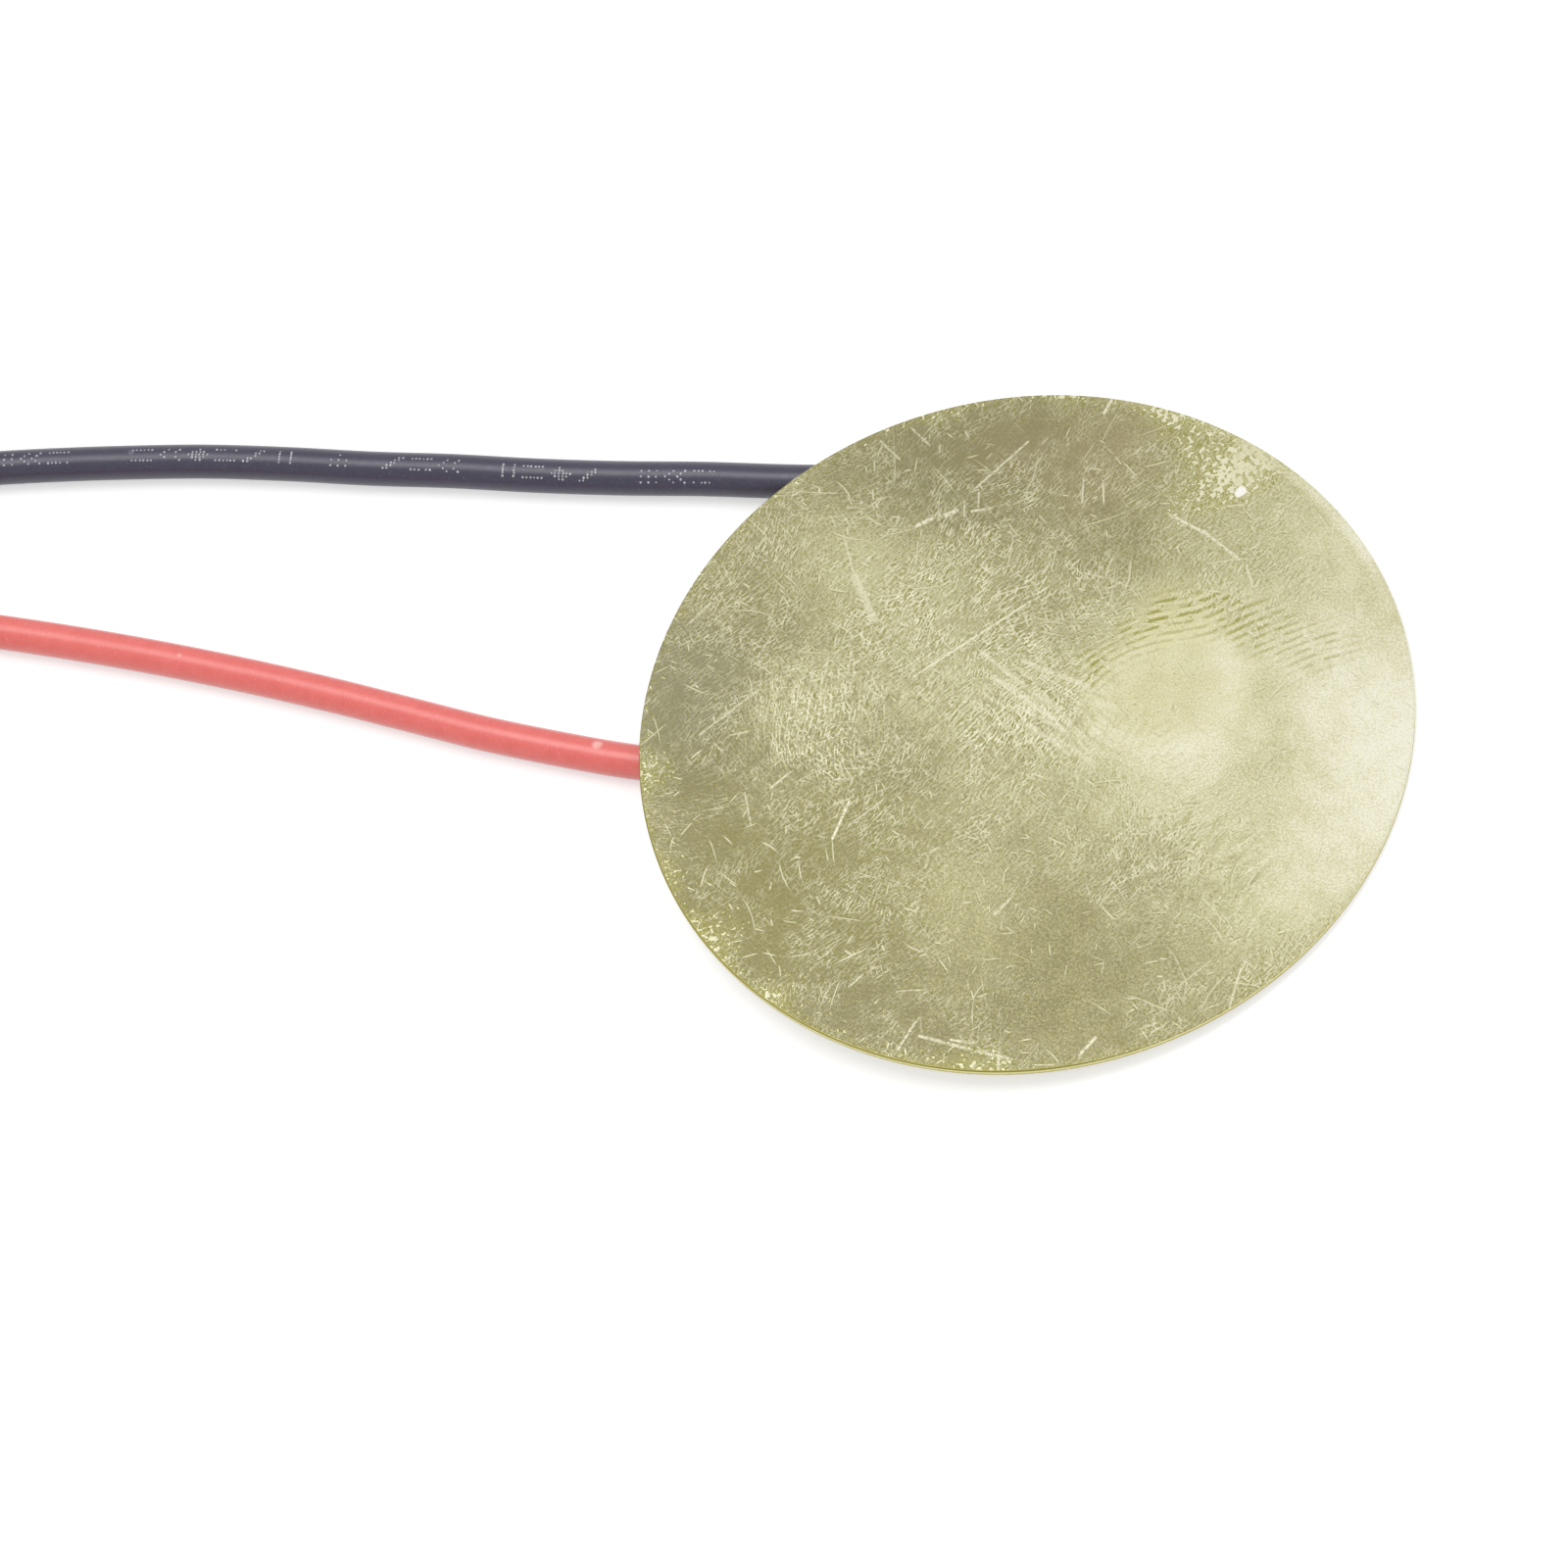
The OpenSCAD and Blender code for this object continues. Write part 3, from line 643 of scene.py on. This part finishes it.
def vinyl(name, ground, deep, speck, gloss, rubs):
    """Soft vinyl, a little frosted, with pale rubs: each is x, y, z, reach and strength in millimetres."""
    material, tree, shader = finish_of(name)
    place = millimetres(tree)
    mottle = cloud(tree, place, 0.6, 3, 0.6)
    grain = cloud(tree, place, 0.1, 2, 0.6, 3)
    colour = mixed(tree, smooth(tree, mottle, 0.35, 0.65), deep, ground)
    frost = smooth(tree, grain, 0.58, 0.72, 0, 0.3)
    broken = smooth(tree, grain, 0.3, 0.5, 0.3, 1)
    for x, y, z, reach, strength in rubs:
        away = measure(tree, "DISTANCE", place, (x, y, z))
        rub = calc(tree, "MULTIPLY", smooth(tree, away, reach, reach / 3, 0, strength), broken)
        frost = calc(tree, "MAXIMUM", frost, rub)
    colour = mixed(tree, frost, colour, speck)
    dress(tree, shader, colour, 0, smooth(tree, grain, 0.3, 0.7, 0.34, 0.46), grain, 0.006)
    shader.inputs["Specular IOR Level"].default_value = 0.5
    shader.inputs["Coat Weight"].default_value = gloss
    shader.inputs["Coat Roughness"].default_value = 0.36
    return material


def sleeve(name, route, side, material, replaced):
    """The insulation of one lead, with a soft edge and an open bore at each cut end."""
    line, way = lead_line(route, side)
    sides = 28
    start, end = line[0], line[-1]
    out = (line[0] - line[1]).normalized()
    start_rings = [
        (start - bore_depth * MM * out, bore_r), (start, bore_r), (start, lead_d / 2 - cut_edge),
        (start - cut_edge * MM * out, lead_d / 2),
    ]
    end_rings = [
        (line[-2], lead_d / 2), (end - cut_edge * MM * way, lead_d / 2), (end, lead_d / 2 - cut_edge),
        (end, bore_r), (end - bore_depth * MM * way, bore_r),
    ]
    rings = [*start_rings, *[(p, lead_d / 2) for p in line[1:-2]], *end_rings]
    points = []
    for i, (middle, r) in enumerate(rings):
        if i < len(start_rings):
            along = -out
        elif i >= len(rings) - len(end_rings):
            along = way
        else:
            along = rings[i + 1][0] - rings[i - 1][0]
        across = along.normalized().cross(up).normalized()
        points += [middle + u * across + v * up for u, v in circle(r, sides)]
    piece = show(name, points, skin(len(rings), sides), [material], replaced)


def twisted_end(name, route, side, material, replaced):
    """The far end of a lead: its seven strands twisted tight and dipped in solder."""
    line, way = lead_line(route, side)
    across = up.cross(way)
    sides, steps = 72, 50
    points = []
    for i in range(steps + 1):
        twist = math.radians(360 / strand_lay * tip_length * i / steps)
        taper = 1 - tip_taper * max(0, 1 - (steps - i) / tip_taper_steps)
        for k in range(sides):
            a = 2 * math.pi * k / sides
            off = math.radians(abs((math.degrees(a) + 30) % 60 - 30))
            rise = strand_r ** 2 - (strand_lay_r * math.sin(off)) ** 2
            r = strand_lay_r * math.cos(off) + math.sqrt(max(rise, 0))
            r = max(r, strand_lay_r + solder_fill) * taper * MM
            a += twist
            points.append(line[-1] + tip_length * MM * i / steps * way
                          + r * math.cos(a) * across + r * math.sin(a) * up)
    return show(name, points, skin(steps + 1, sides), [material], replaced)


tinned, tree, shader = finish_of("tinned_copper")
place = millimetres(tree)
ripple = cloud(tree, place, 0.35, 3, 0.6)
frosted = cloud(tree, place, 0.04, 2, 0.6, 2)
colour = mixed(tree, smooth(tree, ripple, 0.35, 0.65), paint(176, 174, 168), paint(206, 205, 200))
colour = mixed(tree, smooth(tree, frosted, 0.6, 0.75, 0, 0.4), colour, paint(226, 225, 221))
dress(tree, shader, colour, 1, smooth(tree, ripple, 0.3, 0.7, 0.22, 0.4), ripple, 0.02)

red_vinyl = vinyl(
    "red_vinyl", ground=paint(224, 96, 88), deep=paint(219, 89, 81), speck=paint(242, 178, 170), gloss=1,
    rubs=[(-19.6, -1.35, 1.6, 0.34, 0.9), (-40.2, 3, 1.5, 0.2, 0.5)],
)
black_vinyl = vinyl(
    "black_vinyl", ground=paint(40, 34, 61), deep=paint(34, 28, 54), speck=paint(118, 115, 128), gloss=0.5,
    rubs=[(-23.6, 12.7, 0.6, 0.12, 1), (-44.5, 13.9, 1.6, 0.2, 0.5)],
)
red_end = twisted_end("red_tinned_end", red_route, red_side, tinned, ["red_tip"])
black_end = twisted_end("black_tinned_end", black_route, black_side, tinned, ["black_tip"])
sleeve("red_sleeve", red_route, red_side, red_vinyl, ["red_lead", "red_coil"])
sleeve("black_sleeve", black_route, black_side, black_vinyl,
       ["black_lead", "black_coil"])


# The print on the black lead: rows of fine pale dots, sprayed on the wire as it was made.
# Here the rows make plain bars, steps and chevrons in small groups, along the whole lead.
ink, tree, shader = finish_of("pale_ink")
patchy = cloud(tree, millimetres(tree), 0.12, 2, 0.6)
colour = mixed(tree, smooth(tree, patchy, 0.35, 0.65), paint(150, 148, 154), paint(196, 194, 198))
dress(tree, shader, colour, 0, 0.6, patchy, 0.002)
marks = {
    "bars": ("######", "......", "......", "......", "######"),
    "chevrons": ("#..#..", ".#..#.", "..#..#", ".#..#.", "#..#.."),
    "steps": ("##....", ".##...", "..##..", "...##.", "....##"),
    "diamond": ("..##..", ".####.", "######", ".####.", "..##.."),
    "dots": ("#.#.#.", "......", "#.#.#.", "......", "#.#.#."),
    "ticks": ("#..#..", "#..#..", "#..#..", "#..#..", "#..#.."),
}
groups = ["bars", "chevrons", "dots", None, "steps", "diamond", "bars", "ticks", None, "chevrons", "bars",
          "steps", None, "dots", None, "ticks", "steps", "bars", "diamond", "chevrons", "bars", None, None]
dot_gap, row_gap, mark_gap = 0.185, 0.135, 1.36
dot_r, dot_height, dot_sides = 0.055, 0.006, 8
missing_dots = 0.06
plain_start, plain_ends = 6.2, 8
line, way = lead_line(black_route, black_side)
lengths = [0.0]
for a, b in zip(line, line[1:]):
    lengths.append(lengths[-1] + (b - a).length / MM)
drops = random.Random(7)


def on_lead(run, turn):
    """A point on the lead's skin, run millimetres from the cut end, and which way is out and along there."""
    i = max(1, next((n for n, reached in enumerate(lengths) if reached >= run), len(lengths) - 1))
    share = (run - lengths[i - 1]) / (lengths[i] - lengths[i - 1])
    middle = line[i - 1].lerp(line[i], share)
    along = (line[i] - line[i - 1]).normalized()
    left = along.cross(up).normalized()
    out = math.cos(turn) * left + math.sin(turn) * up
    return middle + lead_d / 2 * MM * out, out, along


def print_turn(run):
    """How far round the lead the print lies: the wire turns a little as it comes off the disc."""
    return math.radians(112 - 21 * min(1, max(0, (run - 10) / 12)) + 6 * math.sin(run / 17))


points, faces = [], []
for n in range(int((lengths[-1] - plain_ends) / mark_gap)):
    mark = groups[n % len(groups)]
    if mark is None:
        continue
    start = plain_start + n * mark_gap
    for row, dots in enumerate(marks[mark]):
        for column, dot in enumerate(dots):
            if dot == "." or drops.random() < missing_dots:
                continue
            run = start + column * dot_gap + drops.uniform(-0.02, 0.02)
            turn = print_turn(start) + (row - 2) * row_gap / (lead_d / 2) + drops.uniform(-0.01, 0.01)
            middle, out, along = on_lead(run, turn)
            beside = out.cross(along)
            r = dot_r * drops.uniform(0.75, 1.1)
            first = len(points)
            points += [middle + u * along + v * beside - 0.001 * MM * out for u, v in circle(r, dot_sides)]
            points.append(middle + dot_height * MM * out)
            faces += [(first + k, first + (k + 1) % dot_sides, first + dot_sides) for k in range(dot_sides)]
show("print_marks", points, faces, [ink])


# The joints: at each lead's cut end seven bare copper strands run up into a dome of solder.
# The red one is soldered to the silver, the black one to the bare brass outside the ceramic.
# The solder is frosted where it cooled, and has crept a little way along the strands.
bond_t, silver_t, ceramic_t = 0.02, 0.01, 0.21
crown_r, foot_r = 0.85, 0.3
solder_film, solder_cover, wetting_gap = 0.05, 0.27, 0.015
channel_h = solder_film + strand_lay_r + strand_r + wetting_gap
joint_h = 2 * channel_h - solder_film + solder_cover
strand_reach = 0.3
strand_start = 0.15

solder, tree, shader = finish_of("solder")
place = millimetres(tree)
frosted = cloud(tree, place, 0.05, 3, 0.7)
flow = cloud(tree, place, 0.9, 1, 0.5, 4)
colour = mixed(tree, smooth(tree, flow, 0.35, 0.65), paint(158, 158, 156), paint(196, 196, 193))
colour = mixed(tree, smooth(tree, frosted, 0.55, 0.75, 0, 0.5), colour, paint(222, 222, 219))
roughness = smooth(tree, frosted, 0.3, 0.7, 0.2, 0.38)
dress(tree, shader, colour, 1, roughness, calc(tree, "MULTIPLY_ADD", frosted, 0.15, flow), 0.012)


def from_disc(p):
    """To the frame from the leaning disc's own place, whose middle is under the plate. In mm, to metres."""
    return face_middle + MM * (plate_tilt @ (Vector(p) - plate_t * up))


def to_disc(p):
    """From the frame, in metres, to the leaning disc's own place in mm."""
    return plate_tilt.inverted() @ ((p - face_middle) / MM) + plate_t * up


def bare_copper(name, mouth):
    """Drawn copper, dulled in patches, with solder crept along it from the mouth of the joint."""
    material, tree, shader = finish_of(name)
    place = millimetres(tree)
    dull = cloud(tree, place, 0.3, 3, 0.6)
    drawn = cloud(tree, place, 0.03, 2, 0.6, 2)
    colour = mixed(tree, smooth(tree, dull, 0.35, 0.65), paint(184, 112, 74), paint(214, 146, 106))
    colour = mixed(tree, smooth(tree, drawn, 0.55, 0.75, 0, 0.4), colour, paint(236, 186, 148))
    from_joint = measure(tree, "DISTANCE", place, tuple(from_disc(mouth) / MM))
    crept = smooth(tree, calc(tree, "MULTIPLY_ADD", dull, 0.8, from_joint), 1.3, 0.9)
    colour = mixed(tree, crept, colour, paint(190, 189, 185))
    dress(tree, shader, colour, 1, smooth(tree, dull, 0.3, 0.7, 0.22, 0.36), drawn, 0.003)
    return material


def round_tube(path, r, sides):
    """Points and quads of a solid round tube along a path in metres, closed flat at both ends."""
    points = []
    for i, middle in enumerate(path):
        along = (path[min(i + 1, len(path) - 1)] - path[max(i - 1, 0)]).normalized()
        across = up.cross(along).normalized()
        above = along.cross(across)
        points += [middle + u * across + v * above for u, v in circle(r, sides)]
    return points, skin(len(path), sides)


def strand(path, k):
    """The middle of strand k in metres: 0 runs along the path, and the other six are laid round it."""
    turn = 2 * math.pi * (path[0] - path[-1]).length / strand_lay
    lay = strand_lay_r if k else 0
    stretches = len(path) - 1
    fine = 4
    line = []
    for n in range(stretches * fine + 1):
        i = min(n // fine, stretches - 1)
        share = n / fine - i
        p0, p1, p2, p3 = path[max(i - 1, 0)], path[i], path[i + 1], path[min(i + 2, stretches)]
        along = (p2 - p1).normalized()
        across = up.cross(along).normalized()
        a = math.radians(60 * k) + turn * n / fine / stretches
        around = math.cos(a) * across + math.sin(a) * along.cross(across)
        line.append(from_disc(curve(p0, p1, p2, p3, share) + lay * around))
    return line


def dome_section():
    """Half the outline of a joint, from its top: a round crown, a hollow foot and the flat underside."""
    crown_z = joint_h - crown_r
    foot_x = math.sqrt((crown_r + foot_r) ** 2 - (foot_r - crown_z) ** 2)
    flow_out = math.atan2(foot_r - crown_z, foot_x)
    section = []
    for i in range(15):
        a = math.pi / 2 + (flow_out - math.pi / 2) * i / 14
        section.append((crown_r * math.cos(a), crown_z + crown_r * math.sin(a)))
    for i in range(1, 9):
        a = flow_out + math.pi + (1.5 * math.pi - flow_out - math.pi) * i / 8
        section.append((foot_x + foot_r * math.cos(a), foot_r + foot_r * math.sin(a)))
    return [*section, (0, 0)]


def joint(lead, r, degrees, depth, route):
    """One joint: its solder dome and the seven strands between it and the cut insulation."""
    middle = Vector((r * math.cos(math.radians(degrees)), r * math.sin(math.radians(degrees)), -depth))
    cut, next_in = (to_disc(Vector((*p, lead_d / 2)) * MM) for p in route[:2])
    out = (cut - next_in).normalized()
    run = Vector((middle.x - cut.x, middle.y - cut.y, 0)).normalized()
    bend = cut + strand_start * out
    blind = middle - channel_h * up + strand_reach * run
    mouth = blind - (strand_reach + crown_r + foot_r) * run
    ease = (mouth - bend).length / 3
    path = [cut]
    for i in range(9):
        t = i / 8
        path.append((1 - t) ** 3 * bend + 3 * (1 - t) ** 2 * t * (bend + ease * out)
                    + 3 * (1 - t) * t * t * (mouth - ease * run) + t ** 3 * mouth)
    path += [(mouth + blind) / 2, blind]
    points, faces = [], []
    for k in range(7):
        more_points, more_faces = round_tube(strand(path, k), strand_r, 14)
        faces += [tuple(len(points) + v for v in face) for face in more_faces]
        points += more_points
    copper = bare_copper(lead + "_copper", mouth)
    show(lead + "_bare_strands", points, faces, [copper], [lead + "_strands"])
    points, faces = turned([(x, -z) for x, z in dome_section()], 56, from_disc(middle))
    faces = [tuple(reversed(face)) for face in faces]
    show(lead + "_solder_dome", points, faces, [solder], [lead + "_solder"])


joint("red", r=9.5, degrees=194, depth=bond_t + 2 * silver_t + ceramic_t, route=red_route)
joint("black", r=15, degrees=119, depth=0, route=black_route)


# The table is plain and pale, under one wide lamp overhead and an even white surround.
# What the eye and the metal see beyond the table is white, and the table keeps the shadows.
table, tree, shader = finish_of("table")
shader.inputs["Base Color"].default_value = (0.62, 0.62, 0.62, 1)
shader.inputs["Roughness"].default_value = 0.9
shader.inputs["Specular IOR Level"].default_value = 0.0
shader.inputs["Emission Color"].default_value = (1, 1, 1, 1)
ray = add(tree, "LightPath")
seen = calc(tree, "MAXIMUM", ray.outputs["Is Camera Ray"], ray.outputs["Is Glossy Ray"])
join(tree, calc(tree, "MULTIPLY", seen, 0.5), shader.inputs["Emission Strength"])
half = 1.5
corners = [(-half, -half, 0), (half, -half, 0), (half, half, 0), (-half, half, 0)]
floor_mesh = bpy.data.meshes.new("floor")
floor_mesh.from_pydata(corners, [], [(0, 1, 2, 3)])
floor_mesh.materials.append(table)
floor = bpy.data.objects.new("floor", floor_mesh)
bpy.context.collection.objects.link(floor)
floor.location.z = -0.02 * MM

world = bpy.data.worlds.new("surround")
world.use_nodes = True
bpy.context.scene.world = world
sky = world.node_tree
sky.nodes.clear()
ray = add(sky, "LightPath")
plain = calc(sky, "MAXIMUM", ray.outputs["Is Camera Ray"], ray.outputs["Is Transmission Ray"])
plain = calc(sky, "MAXIMUM", plain, ray.outputs["Is Glossy Ray"])
strength = add(sky, "MapRange", plain, 0.0, 1.0, 0.85, 1.0).outputs[0]
shell = add(sky, "Background", (1, 1, 1, 1), strength)
join(sky, shell.outputs[0], add(sky, "OutputWorld").inputs[0])

lamp_data = bpy.data.lights.new("top_softbox", "AREA")
lamp_data.shape = "RECTANGLE"
lamp_data.size = 0.6
lamp_data.size_y = 0.26
lamp_data.energy = 3.2
lamp = bpy.data.objects.new("top_softbox", lamp_data)
bpy.context.collection.objects.link(lamp)
lamp.location = (-0.28, 0.11, 1.0)
lamp.rotation_mode = "QUATERNION"
lamp.rotation_quaternion = lamp.location.to_track_quat("Z", "Y")
